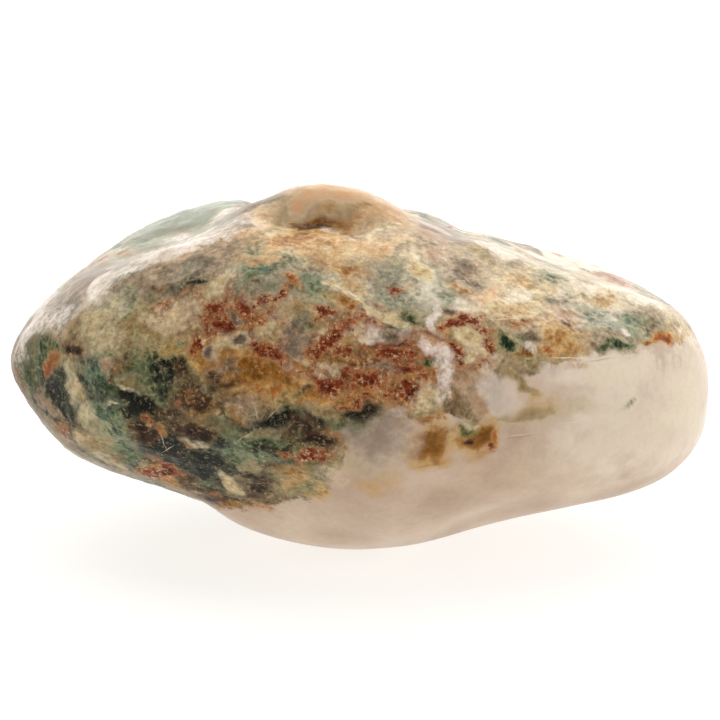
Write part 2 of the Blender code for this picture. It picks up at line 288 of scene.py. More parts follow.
# %% Lower middle
LOWER_MIDDLE = {
    "khaki": [
        (225, 350, 1.5, 0.4, 0, 0.5), (225, 416, 1.6, 0.9, 0, 0.2), (240, 478, 0.8, 0.5, 0, 0.3),
        (250, 464, 1, 0.4, 0, 0.75), (262, 434, 1.2, 0.45, 10, 0.8), (300, 486, 1.5, 0.6, 0, 0.75),
        (338, 462, 1, 0.5, 70, 0.6), (360, 467, 1.5, 0.5, 30, 0.4), (377, 478, 1.6, 0.6, 20, 0.45),
    ],
    "gold": [(238, 356, 1, 0.3, 0, 0.45)],
    "ochre": [
        (200, 412, 0.8, 0.5, 0, 0.65), (212, 360, 1.7, 0.8, 0, 0.9), (225, 504, 1.6, 0.3, -8, 0.85),
        (237, 418, 0.9, 0.3, 0, 0.65), (255, 372, 2.7, 1.2, -10, 0.95), (264, 410, 0.6, 0.35, 20, 0.75),
        (292, 472, 1.3, 0.8, 0, 0.55), (318, 494, 1, 0.4, 30, 0.5), (372, 488, 1.6, 1.1, 0, 0.4),
        (374, 484, 1.4, 0.7, 0, 0.35),
    ],
    "olive": [(338, 440, 0.8, 0.7, 0, 0.7), (345, 448, 0.5, 0.6, 0, 0.6)],
    "mauve": [(214, 374, 0.8, 0.5, 0, 0.6), (250, 404, 1.4, 0.6, 0, 0.5)],
    "smoke": [(332, 477, 0.9, 0.6, 0, 0.6), (396, 424, 0.9, 0.45, 10, 0.75)],
    "teal": [(240, 447, 1.8, 0.6, 0, 0.8)],
    "green": [
        (230, 436, 1.2, 0.4, 10, 0.55), (232, 462, 0.9, 0.4, 0, 0.6), (262, 446, 1.4, 0.6, 0, 0.95),
        (290, 440, 1.2, 0.5, 0, 0.7), (292, 410, 1, 0.5, 0, 0.6), (308, 491, 0.8, 0.25, 0, 0.5),
        (350, 427, 1.3, 0.5, 0, 0.85), (378, 420, 0.8, 0.3, 0, 0.6),
    ],
    "dark": [
        (215, 390, 0.7, 0.6, 0, 0.9), (220, 493, 1.1, 0.3, -8, 1), (224, 446, 0.8, 0.6, 0, 0.9),
        (258, 484, 1.2, 0.5, 0, 0.6), (280, 453, 1.5, 0.35, 8, 0.85), (286, 418, 1.4, 0.85, 0, 0.9),
        (359, 415, 1.3, 0.5, -8, 1), (362, 420, 0.6, 0.3, -10, 0.9), (386, 421, 0.35, 0.3, 0, 0.9),
    ],
    "brown": [
        (197, 391, 1.3, 0.8, 0, 1), (200, 401, 1, 0.8, 0, 1), (214, 376, 0.8, 0.5, 0, 0.9),
        (232, 387, 0.9, 0.5, -10, 0.7), (238, 425, 0.8, 0.2, 10, 0.65), (246, 501, 1.4, 0.15, -5, 0.65),
        (252, 478, 0.7, 0.3, 0, 0.85), (262, 488, 1.6, 0.7, 0, 0.75), (266, 468, 0.6, 0.3, -20, 0.85),
        (293, 432, 0.25, 0.12, 0, 1), (303, 425, 1, 0.8, 0, 0.85), (322, 443, 1.7, 0.7, 5, 0.95),
        (354, 436, 0.4, 0.2, 0, 0.9), (392, 419, 0.5, 0.25, -15, 0.5),
    ],
    "rust": [
        (190, 393, 0.9, 0.75, 0, 0.35), (196, 398, 0.7, 0.5, 0, 0.3), (285, 457, 1.01, 0.19, 0, 0.56),
        (306, 458, 0.67, 0.5, 10, 0.8), (325, 458, 1.01, 0.38, 5, 0.61), (335, 436, 0.67, 0.25, 0, 0.56),
    ],
    "orange": [(262, 388, 1.7, 0.5, -5, 0.55), (262, 507, 1, 0.25, -8, 0.6)],
    "cream": [
        (216, 414, 0.8, 0.4, -20, 0.2), (224, 478, 0.9, 0.3, -50, 0.7), (236, 491, 0.5, 0.2, -40, 0.65),
    ],
    "slate": [(203, 390, 0.35, 0.3, 90, 0.9)],
}
tell("lower middle", LOWER_MIDDLE)

# %% [markdown]
# Iron has gathered in the middle. Red-brown clusters lie close together there, round a few grey
# grains with cream rims. Mauve and khaki show between them.

# %% Middle
MIDDLE = {
    "khaki": [
        (190, 328, 0.8, 0.8, 0, 0.55), (271, 333, 0.8, 0.6, 0, 0.7), (325, 414, 1.1, 0.5, 0, 0.75),
        (350, 340, 0.7, 0.6, 0, 0.6),
    ],
    "gold": [(268, 327, 0.8, 0.6, 0, 0.5), (302, 361, 0.5, 0.4, 0, 0.6)],
    "peach": [(300, 379, 0.9, 0.3, 0, 0.65)],
    "ochre": [
        (240, 320, 1.6, 0.9, 0, 0.45), (258, 308, 0.8, 0.5, 0, 0.75), (318, 396, 1.5, 0.6, 0, 0.85),
        (332, 350, 3, 1.8, 0, 0.35), (342, 300, 1.2, 0.5, -15, 0.8), (375, 398, 1.4, 0.5, 0, 0.6),
    ],
    "olive": [(360, 391, 1.4, 0.4, 0, 0.75), (400, 378, 1.2, 0.3, 0, 0.6)],
    "mauve": [
        (285, 366, 0.7, 0.35, 0, 0.7), (304, 340, 0.7, 0.6, 0, 0.8), (380, 335, 0.28, 0.25, 0, 0.85),
        (384, 370, 0.8, 0.5, 0, 0.9), (398, 337, 1.1, 0.5, 0, 0.85),
    ],
    "green": [(290, 396, 0.9, 0.3, 15, 0.8), (430, 364, 0.7, 0.35, 0, 0.65)],
    "dark": [(306, 388, 0.8, 0.3, 35, 0.7), (342, 316, 0.7, 0.4, -20, 0.75)],
    "brown": [
        (196, 333, 0.45, 0.3, 90, 0.7), (240, 324, 1.4, 0.5, 10, 0.4), (334, 324, 0.9, 0.35, -10, 0.5),
        (352, 352, 1.2, 0.4, 10, 0.5), (372, 372, 1.6, 0.5, 5, 0.45), (384, 376, 0.7, 0.3, 0, 0.6),
    ],
    "rust": [
        (198, 342, 0.9, 0.38, 20, 0.69), (213, 312, 1.01, 0.62, 0, 0.61), (220, 325, 1.34, 0.75, 10, 0.8),
        (223, 303, 0.67, 0.5, 60, 0.72), (232, 312, 0.67, 0.62, 90, 0.53),
        (234, 331, 0.78, 0.38, 10, 0.64), (245, 309, 0.78, 0.56, -10, 0.8),
        (250, 336, 0.34, 0.44, 0, 0.56), (254, 346, 0.9, 0.44, -20, 0.72), (256, 321, 0.9, 0.38, 0, 0.72),
        (270, 352, 0.9, 0.62, -20, 0.8), (293, 330, 0.45, 0.19, 0, 0.64), (298, 373, 1.12, 0.15, 5, 0.69),
        (316, 357, 0.78, 0.31, 20, 0.75), (324, 345, 1.34, 0.75, 30, 0.8), (327, 310, 0.78, 0.5, 10, 0.8),
        (329, 386, 1.12, 0.75, -5, 0.8), (334, 328, 1.01, 0.5, 20, 0.64), (343, 349, 0.67, 0.5, 0, 0.72),
        (348, 372, 1.01, 0.25, 5, 0.72), (354, 325, 1.01, 0.5, -20, 0.69),
        (357, 405, 1.12, 0.31, -5, 0.72), (367, 382, 1.46, 0.56, 5, 0.8), (368, 358, 1.01, 0.31, 0, 0.56),
        (388, 351, 1.12, 0.5, 0, 0.8), (390, 388, 1.12, 0.5, 0, 0.64), (405, 363, 0.9, 0.25, 0, 0.69),
        (411, 352, 0.78, 0.5, 10, 0.69), (411, 386, 1.46, 0.62, 0, 0.8), (425, 339, 0.45, 0.5, 0, 0.56),
        (428, 376, 0.9, 0.35, 15, 0.75),
    ],
    "orange": [
        (328, 402, 1.1, 0.22, 5, 0.6), (352, 307, 0.4, 0.3, 0, 1), (425, 341, 0.5, 0.4, -50, 0.9),
        (434, 371, 0.5, 0.2, 20, 0.7),
    ],
    "lilac": [(250, 341, 0.2, 0.4, 0, 0.6), (372, 338, 0.7, 0.4, 0, 0.7)],
    "cream": [
        (207, 352, 0.6, 0.5, 0, 0.5), (236, 341, 0.85, 0.65, -10, 0.75), (325, 366, 1, 0.3, 5, 0.5),
        (326, 330, 0.5, 0.2, 60, 0.6), (362, 338, 0.9, 0.5, 0, 0.45),
    ],
    "slate": [
        (207, 352, 0.42, 0.34, 0, 1), (234, 317, 0.35, 0.3, 90, 0.9), (236, 341, 0.6, 0.42, -10, 1),
        (276, 315, 0.25, 0.22, 0, 0.8), (291, 346, 1.2, 0.8, 80, 0.75),
    ],
}
tell("middle", MIDDLE)

# %% [markdown]
# Above the middle lies a dished oval of mauve and grey-green. Right of it the ground is gold and
# peach, crossed by a line of cream grains.

# %% Upper middle
UPPER_MIDDLE = {
    "pale": [(405, 328, 0.5, 0.3, 0, 0.9), (428, 290, 0.9, 0.7, 0, 0.85)],
    "khaki": [(210, 290, 1.1, 0.9, 30, 0.75), (300, 308, 1.2, 0.8, 0, 0.7)],
    "gold": [(283, 228, 0.9, 0.5, 30, 0.6), (350, 282, 1.3, 0.5, -20, 0.9)],
    "peach": [
        (300, 241, 2.6, 0.6, 5, 0.6), (364, 246, 2, 1.2, 0, 0.5), (388, 248, 1.1, 0.5, 10, 0.85),
        (413, 285, 0.6, 0.3, 90, 0.55),
    ],
    "ochre": [
        (253, 299, 0.5, 0.2, 10, 0.8), (278, 246, 1, 0.4, 10, 0.5), (281, 276, 0.7, 0.5, 0, 0.85),
        (290, 240, 2.2, 0.8, 5, 0.75), (335, 242, 1.8, 0.6, 0, 0.6), (352, 267, 1.6, 0.3, -5, 0.8),
    ],
    "mauve": [
        (163, 275, 2.2, 0.5, 8, 0.45), (194, 271, 0.9, 0.45, 25, 0.95), (205, 262, 2.4, 0.5, 15, 0.75),
        (230, 247, 1.6, 0.6, 20, 0.75), (237, 291, 1.1, 0.6, 30, 1), (258, 283, 2.2, 1, 14, 0.85),
        (266, 286, 1, 0.7, 0, 0.9), (352, 235, 0.8, 0.2, -5, 0.85), (384, 288, 1.6, 1.1, 0, 0.75),
        (400, 253, 0.45, 0.3, 0, 0.75),
    ],
    "sage": [
        (192, 268, 0.8, 0.3, 25, 0.5), (250, 251, 1.1, 0.4, 10, 0.6), (255, 271, 1.3, 0.38, 38, 0.85),
        (260, 282, 1.8, 0.9, 10, 0.6), (270, 268, 1.6, 0.5, 20, 1), (283, 264, 1.3, 0.35, 0, 0.7),
        (318, 279, 1.1, 0.5, -20, 0.8), (388, 272, 1.4, 0.6, 0, 0.5), (391, 301, 1.7, 0.8, -20, 0.6),
        (442, 290, 0.7, 0.6, 0, 0.6),
    ],
    "teal": [(262, 268, 1.2, 0.25, 20, 0.6)],
    "green": [
        (122, 268, 1.1, 0.4, 20, 0.5), (246, 286, 1, 0.5, 10, 0.5), (249, 273, 0.7, 0.25, 38, 0.45),
        (309, 322, 0.9, 0.4, 10, 0.8), (312, 291, 1.1, 0.8, -20, 0.55), (412, 320, 1.2, 0.5, 0, 0.7),
    ],
    "dark": [
        (178, 292, 0.7, 0.25, 45, 0.55), (192, 282, 0.9, 0.22, 10, 0.9), (395, 326, 0.4, 0.2, 30, 0.8),
    ],
    "brown": [
        (288, 285, 0.9, 0.25, 15, 0.85), (292, 257, 0.6, 0.2, 0, 0.5), (312, 267, 0.9, 0.2, 5, 0.5),
    ],
    "rust": [
        (262, 301, 0.9, 0.19, 5, 0.69), (283, 291, 1.01, 0.25, 28, 0.75), (394, 290, 0.39, 0.31, 0, 0.71),
    ],
    "orange": [
        (251, 264, 0.3, 0.2, 0, 0.85), (291, 276, 0.5, 0.38, 0, 0.95), (386, 250, 0.8, 0.3, 10, 0.4),
    ],
    "pearl": [(330, 230, 0.9, 0.15, 8, 0.5)],
    "cream": [
        (224, 277, 1.6, 0.45, 40, 0.8), (300, 252, 1.3, 0.4, 0, 0.2), (327, 250, 0.5, 0.5, 0, 0.4),
        (339, 288, 0.9, 0.18, -30, 1), (350, 250, 0.9, 0.5, 0, 0.45), (354, 296, 0.7, 0.2, -30, 1),
        (366, 306, 0.7, 0.15, -50, 0.9), (380, 315, 1.2, 0.25, -20, 0.8), (424, 272, 1.2, 0.38, -65, 1),
    ],
    "slate": [(250, 289, 1.75, 0.55, 13, 0.5), (257, 279, 0.2, 0.1, 0, 1)],
}
tell("upper middle", UPPER_MIDDLE)

# %% [markdown]
# The crest carries a smooth peach dome over a groove, and the groove's dark olive and brown is painted
# shade. Left of it the top is grey-green with a pale and lilac band, which is a painted highlight, and
# right of it smoky brown.

# %% Crest
CREST = {
    # pale streak along the far ridge: painted highlight
    "pale": [(190, 240, 3.2, 0.6, 18, 0.6)],
    "khaki": [(275, 222, 1.3, 0.6, 30, 0.8)],
    "peach": [
        (155, 268, 1, 0.2, 5, 0.5), (175, 258, 1.7, 0.3, 10, 0.6), (245, 233, 0.9, 0.3, 30, 0.6),
        (262, 210, 1.2, 0.5, 30, 0.7), (283, 203, 1, 0.5, 30, 0.5), (298, 204, 1, 0.9, 0, 0.7),
        (336, 193, 2.7, 0.9, -5, 0.95), (376, 207, 1.2, 0.6, -20, 0.85), (396, 216, 2.2, 1, -30, 0.75),
    ],
    "ochre": [(332, 205, 0.8, 0.25, 5, 0.75)],
    # the olive ovals, and the mauve, green and brown ones at the dome's foot, are painted shade in the
    # groove
    "olive": [(295, 223, 0.5, 0.2, 0, 0.7), (322, 219, 2.1, 0.5, 8, 0.95), (352, 214, 1.3, 0.3, 0, 0.7)],
    "mauve": [
        (215, 232, 1.2, 0.3, 20, 0.55), (330, 212, 1.9, 0.5, 0, 0.35), (378, 212, 0.9, 0.4, -15, 0.2),
    ],
    "sage": [(172, 214, 3.6, 1.1, 25, 0.5)],
    "smoke": [
        (256, 213, 0.9, 0.5, 20, 0.15), (430, 234, 1.4, 0.6, -40, 0.8), (434, 246, 1.2, 0.35, 0, 0.7),
    ],
    "green": [(345, 207, 1.2, 0.3, 0, 0.25)],
    "brown": [
        (301, 225, 0.6, 0.2, 0, 0.9), (318, 225, 1.4, 0.18, 3, 0.85), (372, 219, 0.8, 0.2, -5, 0.3),
    ],
    # lilac streaks left of the dome: painted highlights
    "lilac": [
        (150, 256, 1.6, 0.25, 35, 0.6), (182, 246, 3.6, 0.38, 20, 0.75), (226, 208, 0.9, 0.3, 15, 0.6),
    ],
    "cream": [(374, 231, 1.2, 0.35, 8, 0.45)],
}
tell("crest", CREST)

# %% [markdown]
# The right shoulder is gold and pale, and its long pale ovals along the top edge are a painted highlight.
# A string of mauve, dark and green grains runs under it, along the core, to an orange spot near the end.

# %% Right shoulder
RIGHT_SHOULDER = {
    # the long pale ovals along the top of the shoulder paint its highlight band
    "pale": [
        (471, 308, 1.2, 0.45, 0, 0.85), (500, 248, 1.8, 0.45, -12, 0.8), (525, 293, 1.1, 0.25, 15, 0.75),
        (560, 256, 2.6, 0.3, -12, 0.9), (580, 287, 1.1, 0.3, -10, 0.65), (600, 270, 2, 0.35, -16, 1),
        (606, 299, 2, 1, -10, 1), (640, 300, 1.6, 0.5, -20, 0.85),
    ],
    "khaki": [
        (480, 252, 1.9, 0.6, -10, 0.65), (535, 365, 1.1, 0.4, 0, 0.75), (563, 276, 0.9, 0.4, -20, 0.65),
        (677, 321, 0.9, 0.45, -40, 0.7),
    ],
    "gold": [
        (508, 308, 2.3, 0.6, 0, 0.85), (522, 278, 1.8, 0.6, -5, 1), (545, 330, 0.9, 0.6, 0, 0.6),
        (605, 298, 1.5, 0.8, -10, 0.85), (681, 340, 1.2, 0.4, -10, 0.9),
    ],
    "peach": [(490, 292, 0.9, 0.4, 5, 0.75)],
    "ochre": [
        (463, 289, 0.9, 0.3, 0, 0.75), (560, 338, 1.3, 0.7, 0, 0.7), (571, 348, 0.9, 0.5, 0, 0.75),
        (664, 335, 0.9, 0.4, 10, 0.9),
    ],
    "olive": [(524, 352, 0.5, 0.28, -25, 0.9), (651, 342, 0.6, 0.2, 8, 0.95)],
    "mauve": [
        (450, 311, 0.6, 0.32, -20, 1), (460, 272, 1.4, 0.8, -10, 0.8), (510, 262, 1.3, 0.25, -10, 0.65),
        (532, 335, 1.1, 0.4, -10, 1), (551, 299, 0.5, 0.34, 0, 1), (560, 301, 1.1, 0.6, 0, 0.7),
        (590, 325, 0.9, 0.6, 0, 0.6), (600, 349, 1, 0.28, 8, 0.8), (604, 333, 1.3, 0.7, 0, 0.65),
        (620, 281, 1.4, 0.4, -15, 0.95), (648, 312, 1.1, 0.3, -10, 0.6),
    ],
    "sage": [
        (550, 275, 1.1, 0.45, -15, 0.8), (551, 299, 0.5, 0.34, 0, 0.6), (572, 293, 0.6, 0.3, 0, 0.6),
        (588, 310, 1, 0.6, 0, 0.8), (641, 285, 0.9, 0.2, -40, 0.6),
    ],
    "smoke": [(565, 312, 0.8, 0.5, 0, 0.75)],
    "teal": [(630, 318, 1.2, 0.4, 0, 0.6)],
    "green": [
        (508, 344, 0.9, 0.4, -8, 1), (530, 362, 0.5, 0.2, 0, 0.5), (622, 344, 1.1, 0.2, 8, 0.85),
        (641, 329, 0.9, 0.6, 0, 0.4),
    ],
    "dark": [(522, 337, 0.4, 0.25, -30, 0.7), (628, 321, 1.1, 0.32, 0, 0.3)],
    "brown": [
        (468, 293, 0.5, 0.12, 0, 0.65), (475, 270, 0.6, 0.4, 90, 0.5), (570, 323, 0.7, 0.1, -55, 0.75),
        (655, 325, 0.5, 0.4, 90, 0.65),
    ],
    "rust": [(520, 323, 1.34, 0.25, -8, 0.61), (622, 282, 1.34, 0.38, -15, 0.66)],
    "orange": [(548, 349, 0.5, 0.35, 0, 0.8), (662, 336, 0.9, 0.4, 15, 1)],
    "lilac": [(532, 346, 0.6, 0.2, -30, 0.55), (628, 333, 0.4, 0.2, 0, 0.5)],
}
tell("right shoulder", RIGHT_SHOULDER)

# %% [markdown]
# Between rind and core, a rusty fan with a cream heart lies beside a lilac vein. Under it, smoky and
# squarish ochre grains reach down into the core, and a grey haze lies in the core on their left. The big
# pale ovals paint the lit top and right end of the core, and the wide faint smoke oval paints shade in
# its middle.

# %% Edge of the core
CORE_EDGE = {
    # the three big pale ovals are painted light on the top and right end of the core
    "pale": [
        (494, 356, 0.4, 0.2, 0, 0.75), (615, 374, 3.2, 1.1, 0, 1), (640, 425, 5, 2.6, 10, 0.75),
        (690, 395, 3.4, 1.6, 80, 0.9),
    ],
    "khaki": [
        (428, 408, 1, 0.8, 0, 0.7), (430, 455, 0.8, 0.5, 0, 0.6), (458, 440, 0.8, 0.6, 0, 0.55),
        (468, 343, 0.9, 0.5, 0, 0.4), (522, 382, 1.3, 0.3, -50, 0.85), (529, 416, 2.2, 0.6, 5, 0.85),
        (575, 408, 1.8, 0.5, 5, 0.5),
    ],
    "gold": [(592, 381, 0.9, 0.4, 0, 0.35)],
    "ochre": [
        (425, 421, 0.7, 0.4, 0, 0.85), (432, 441, 1.15, 1.2, 0, 0.85), (441, 417, 0.6, 0.3, -10, 0.9),
        (481, 436, 1.25, 0.85, 5, 0.95), (490, 416, 0.9, 0.5, 0, 0.5),
    ],
    "olive": [
        (428, 465, 1, 0.25, 10, 0.7), (434, 440, 1.1, 1.25, 90, 0.9), (441, 455, 0.7, 0.3, 90, 0.75),
        (484, 435, 1, 1, 0, 0.9), (530, 405, 2, 0.5, 5, 0.4), (536, 393, 0.35, 0.25, 0, 0.6),
    ],
    # the wide faint oval at (510, 474) is painted shade in the middle of the core
    "smoke": [
        (465, 374, 1.2, 0.95, 60, 1), (482, 408, 1, 0.8, 0, 0.85), (489, 368, 1, 0.4, 40, 0.9),
        (510, 474, 5.5, 1.5, 10, 0.3), (580, 366, 1.2, 0.36, -3, 0.8),
    ],
    "green": [(466, 431, 0.5, 0.4, 90, 0.7), (631, 403, 0.4, 0.22, 55, 0.7)],
    "brown": [(424, 405, 0.6, 0.4, 0, 0.4), (469, 442, 0.2, 0.2, 0, 0.9)],
    "rust": [
        (438, 437, 0.56, 0.31, 0, 0.25), (451, 322, 0.67, 0.53, 30, 0.75),
        (451, 430, 0.56, 0.12, 10, 0.5), (457, 350, 0.78, 0.47, -50, 0.8), (470, 319, 1.01, 0.4, 0, 0.8),
        (484, 330, 0.67, 0.56, -50, 0.8), (487, 361, 1.01, 0.19, -10, 0.61),
        (490, 343, 0.56, 0.47, 90, 0.75), (492, 445, 0.45, 0.25, 0, 0.8),
    ],
    "orange": [(447, 333, 0.4, 0.3, 90, 0.7), (495, 436, 0.6, 0.3, 90, 0.75)],
    "lilac": [
        (430, 322, 1, 0.25, -75, 0.9), (436, 348, 1.1, 0.45, -60, 0.9), (447, 368, 1.2, 0.3, -75, 0.85),
        (449, 390, 0.9, 0.35, 80, 0.55),
    ],
    "haze": [(380, 442, 2.1, 1.5, 15, 1)],
    "pearl": [(400, 410, 0.7, 0.5, 0, 0.5), (495, 391, 1.5, 0.85, -60, 1), (552, 373, 0.9, 0.5, 0, 0.7)],
    "cream": [
        (425, 396, 0.9, 0.8, 90, 0.65), (467, 335, 0.9, 0.6, -20, 0.9), (474, 354, 0.9, 0.18, 0, 1),
        (475, 429, 0.4, 0.25, 0, 0.55),
    ],
    "slate": [(526, 412, 1.7, 0.5, -8, 0.2)],
}
tell("edge of the core", CORE_EDGE)

# %% [markdown]
# Some places are worn smoother than the rest: the dome and the shoulders that stick out, and the
# core. They are ovals too, in the same six numbers, and will calm the grain there.

# %% Worn places
WORN = (
    (336, 196, 4.6, 1.7, 0, 1), (190, 218, 5, 1.7, 25, 1), (95, 275, 2.6, 1, 45, 0.9),
    (425, 222, 2.6, 1, -35, 0.9), (560, 252, 5, 1.2, -20, 0.9), (35, 310, 1.8, 0.9, 60, 0.9),
    (540, 404, 3.6, 1.7, -8, 1), (384, 446, 2.4, 2.2, 0, 0.7),
)
print("worn places:", len(WORN))

# %% [markdown]
# ## Laying the ovals on the skin
# An oval with a clean rim would look like paint. So every place on the skin is first pushed about by
# noise, coarse and fine, and the ovals get the ragged outlines of real stains.

# %% Soft steps and ragged places
RAGGED = ((2.2, 0.80), (0.8, 0.38))
AXIS_SEED = 3.1


def smooth_step(start, stop, values):
    """Rises softly from 0 at the start to 1 at the stop."""
    share = np.clip((values - start) / (stop - start), 0.0, 1.0)
    return share * share * (3.0 - 2.0 * share)


def noise_at(places, size, seed):
    """Soft noise from -1 to 1 with lumps of a size in millimetres. Each seed gives another pattern."""
    shift = Vector((17.3, 5.1, 29.7)) * seed
    return np.array([noise.noise(Vector(place) / (size * MM) + shift) for place in places])


def ragged(places):
    """The places after noise of each size has pushed them, by up to its reach in millimetres."""
    moved = places.copy()
    for size, push in RAGGED:
        for axis in range(3):
            moved[:, axis] += push * MM * noise_at(places, size, AXIS_SEED + axis)
    return moved


ragged_points = ragged(points)
print("places are moved by up to, mm:", (np.abs(ragged_points - points).max() / MM).round(2))

# %% [markdown]
# An oval is full in its middle and fades over its rim. It reaches only a little way into the stone's
# depth, so that one on the front doesn't show on the back. The back can't be seen in the photograph.
# It gets the same ovals, because the rock wouldn't change its character there.

# %% Covers
FADE_FROM = 1.9
FADE_TO = 0.1
DEPTH_REACH = 2.6
LEAST_DEPTH = 1.6
HALO = 0.8


def turned(degrees):
    """Two directions in the picture: along a mark that is turned anticlockwise, and across it."""
    turn = math.radians(degrees)
    along = RIGHT * math.cos(turn) + UP * math.sin(turn)
    across = UP * math.cos(turn) - RIGHT * math.sin(turn)
    return along, across


def coverage(oval, side="front"):
    """How much of the ground an oval covers at each place. Its middle stays where it is."""
    px, py, half_long, half_short, turn, share = oval
    away_from = ragged_points - ragged(spot(px, py, side)[np.newaxis])
    along, across = turned(turn)
    far_along = away_from @ along / (half_long * MM)
    far_across = away_from @ across / (half_short * MM)
    reach = max(DEPTH_REACH * max(half_long, half_short), LEAST_DEPTH)
    far_deep = away_from @ AWAY / (reach * MM)
    return share * smooth_step(FADE_FROM, FADE_TO, np.sqrt(far_along**2 + far_across**2 + far_deep**2))


cover = {}


def lay(name, ovals):
    """Adds ovals to a cover, on both sides. Where some overlap, the fullest counts."""
    for oval in ovals:
        for side in SIDES:
            cover[name] = np.maximum(cover.get(name, 0.0), coverage(oval, side))


for mineral, ovals in GROUND.items():
    lay(mineral + "_ground", ovals)
for table in (LEFT_TIP, LEFT_FACE, LOWER_MIDDLE, MIDDLE, UPPER_MIDDLE, CREST, RIGHT_SHOULDER, CORE_EDGE):
    for mineral, ovals in table.items():
        lay(mineral, ovals)
lay("worn", WORN)
cover["halo"] = HALO * cover["rust"]
print("mean share of rust:", round(float(cover["rust"].mean()), 3))

# %% [markdown]
# ## The edge between rind and core
# The rind ends along a wavering edge, and below it the cream core is bare. The edge is given as
# pixels from left to right. Where it runs off the stone, the nearest place on the stone is taken. It
# is carried round to the back with some waves of its own, and at the left end it tucks under the
# stone. The core below it counts as worn.

# %% Rind and core
RIND_EDGE_PX = (
    (20, 400), (60, 455), (110, 482), (160, 497), (200, 504), (240, 511), (275, 510), (300, 500),
    (325, 487), (342, 465), (360, 436), (395, 424), (430, 420), (470, 420), (500, 400), (525, 372),
    (560, 358), (600, 354), (640, 346), (675, 340), (705, 345),
)
EDGE_FADE = 0.7 * MM
FRONT_ENDS = (3.0 * MM, -1.0 * MM)
BACK_WAVE = 1.5
BACK_WAVE_SIZE = 9.0
BACK_DROP = 0.5
TUCK = 3.0 * MM
TUCK_BETWEEN = (-8.0 * MM, -15.0 * MM)
WORN_BELOW = (0.6 * MM, 3.0 * MM)

edge_spots = np.array([spot(px, py) for px, py in RIND_EDGE_PX])
depth = (points - VIEW_CENTRE) @ AWAY
front_share = smooth_step(*FRONT_ENDS, depth)
back_waves = BACK_WAVE * noise_at(points, BACK_WAVE_SIZE, 1) - BACK_DROP
edge_height = np.interp(ragged_points @ RIGHT, edge_spots @ RIGHT, edge_spots @ UP)
edge_height += (1 - front_share) * MM * back_waves
edge_height -= TUCK * smooth_step(*TUCK_BETWEEN, points @ RIGHT)
below_edge = edge_height - ragged_points @ UP
rind = smooth_step(EDGE_FADE, -EDGE_FADE, below_edge)
cover["worn"] = np.maximum(cover["worn"], smooth_step(*WORN_BELOW, below_edge))
for name in cover:
    if name.endswith("_ground"):
        cover[name] *= rind
print("share of the skin under rind:", round(float(rind.mean()), 2))

# %% [markdown]
# Between the front and the back the ends of the stone are still plain. Soft lumps of noise fill
# them. Each filler has the size of its lumps in millimetres, the level of noise where they start,
# and the share that they cover at most.

# %% Ground between the ovals
class Filler(NamedTuple):
    """Lumps of one mineral, laid by noise."""

    mineral: str
    size: float
    level: float
    most: float


FILLERS = (
    Filler("khaki", 3.4, -0.15, 0.85),
    Filler("mauve", 2.8, 0.0, 0.85),
    Filler("sage", 3.0, 0.0, 0.8),
    Filler("ochre", 2.6, 0.05, 0.9),
    Filler("gold", 2.4, 0.12, 0.7),
    Filler("green", 2.2, 0.12, 0.95),
    Filler("rust", 1.8, 0.16, 0.95),
    Filler("dark", 2.0, 0.2, 0.95),
)
FILLER_FADE = 0.3
BEHIND_BETWEEN = (-4.0 * MM, 1.0 * MM)
TAKEN_BETWEEN = (0.8, 0.4)

taken = np.max([values for name, values in cover.items() if name != "worn"], axis=0)
behind = smooth_step(*BEHIND_BETWEEN, depth)
plain = rind * behind * smooth_step(*TAKEN_BETWEEN, taken)
for seed, filler in enumerate(FILLERS):
    waves = noise_at(ragged_points, filler.size, seed)
    lumps = smooth_step(filler.level, filler.level + FILLER_FADE, waves)
    name = filler.mineral + "_ground"
    cover[name] = np.maximum(cover[name], filler.most * plain * lumps)
print("share of the skin filled in:", round(float(plain.mean()), 2))

# %% [markdown]
# Each cover becomes a named attribute on the mesh, which the material can read. The values are
# stretched a little past nought and one, so that the grain, which is taken off them later, leaves
# the middle of a full oval nearly whole.

# %% Attributes for the material
BARE = -0.1
SPREAD = 1.2

cover["rind"] = rind
for name, values in cover.items():
    layer = stone.data.attributes.new(name, "FLOAT", "POINT")
    layer.data.foreach_set("value", np.asarray(BARE + SPREAD * values, dtype=np.float32))
print("attributes:", len(cover))

# %% [markdown]
# ## Fine relief
# A few grains have crumbled out of the rind and left shallow pits. Sculpting them by hand would work,
# but the ovals already know how to find a place. So they give a vertex group its weights, and a
# displace modifier sinks the skin by those weights.

# %% Pits
PITS = (
    (236, 341, 0.65, 0.45, -10, 1), (207, 352, 0.45, 0.36, 0, 0.9), (234, 317, 0.35, 0.3, 90, 0.7),
    (203, 390, 0.35, 0.3, 90, 0.7), (291, 346, 0.9, 0.5, 80, 0.6), (257, 279, 0.28, 0.2, 0, 1),
    (394, 290, 0.4, 0.3, 0, 0.7), (468, 337, 0.7, 0.5, -20, 0.6), (440, 340, 1.6, 0.3, -68, 0.5),
)
PIT_DEPTH = 0.12 * MM


def weigh(name, weights):
    """Makes a vertex group, which tells a modifier how much it may do at each place."""
    group = stone.vertex_groups.new(name=name)
    for index, weight in enumerate(weights):
        group.add([index], float(weight), "REPLACE")


weigh("rind", rind)
weigh("pits", np.max([coverage(pit) for pit in PITS], axis=0))
sunk = stone.modifiers.new("pits", "DISPLACE")
sunk.vertex_group = "pits"
sunk.strength = -PIT_DEPTH
sunk.mid_level = 0.0
bpy.ops.object.modifier_apply(modifier="pits")
print("pits:", len(PITS))

# %% [markdown]
# The rind is softer than the core, so wear and polishing leave it gently lumpy and cut in a little.
# Two displace modifiers with cloud textures do that, held to the rind by its vertex group. They only
# ever move the skin inwards, so the stone keeps its size.

# %% Lumpy rind
RIND_LUMPS = (("broad_lumps", 1.6, 0.16), ("small_lumps", 0.7, 0.08))

